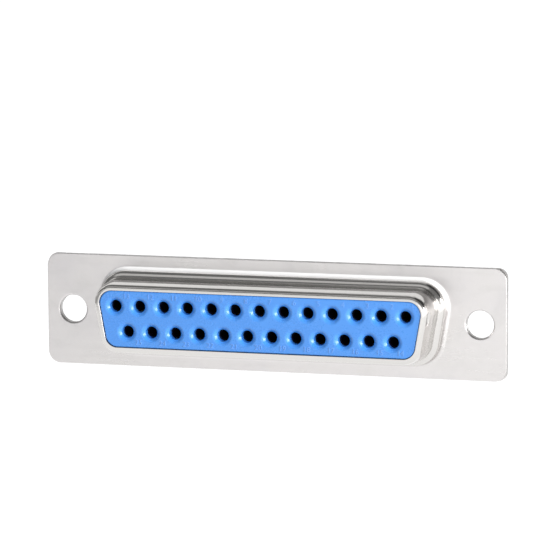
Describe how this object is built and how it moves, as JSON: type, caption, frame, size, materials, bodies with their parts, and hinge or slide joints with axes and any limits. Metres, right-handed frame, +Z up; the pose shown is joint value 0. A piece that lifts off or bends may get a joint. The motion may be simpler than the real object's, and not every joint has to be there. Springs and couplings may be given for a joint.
{
  "type": "d-sub connector",
  "caption": "Panel-mount D-sub socket connector: a stamped metal D-shaped hood on a flange with two mounting holes, a blue insulator and rows of turned sockets with solder cups behind.",
  "frame": {"origin": "front of the flange, midway between the two mounting holes", "axes": "+X along the flange towards contact 1, -Y out of the mating face, +Z up, towards the longer row of contacts"},
  "size_m": [0.053, 0.0169, 0.0126],
  "materials": {
    "plated_steel": "satin",
    "blue_plastic": "satin",
    "gold_plate": "polished"
  },
  "bodies": {
    "root": {"front_shell": "plated_steel", "rear_shell": "plated_steel", "front_insulator": "blue_plastic", "rear_insulator": "blue_plastic", "contact_01": "gold_plate", "contact_02": "gold_plate", "contact_03": "gold_plate", "contact_04": "gold_plate", "contact_05": "gold_plate", "contact_06": "gold_plate", "contact_07": "gold_plate", "contact_08": "gold_plate", "contact_09": "gold_plate", "contact_10": "gold_plate", "contact_11": "gold_plate", "contact_12": "gold_plate", "contact_13": "gold_plate", "contact_14": "gold_plate", "contact_15": "gold_plate", "contact_16": "gold_plate", "contact_17": "gold_plate", "contact_18": "gold_plate", "contact_19": "gold_plate", "contact_20": "gold_plate", "contact_21": "gold_plate", "contact_22": "gold_plate", "contact_23": "gold_plate", "contact_24": "gold_plate", "contact_25": "gold_plate"}
  },
  "joints": []
}
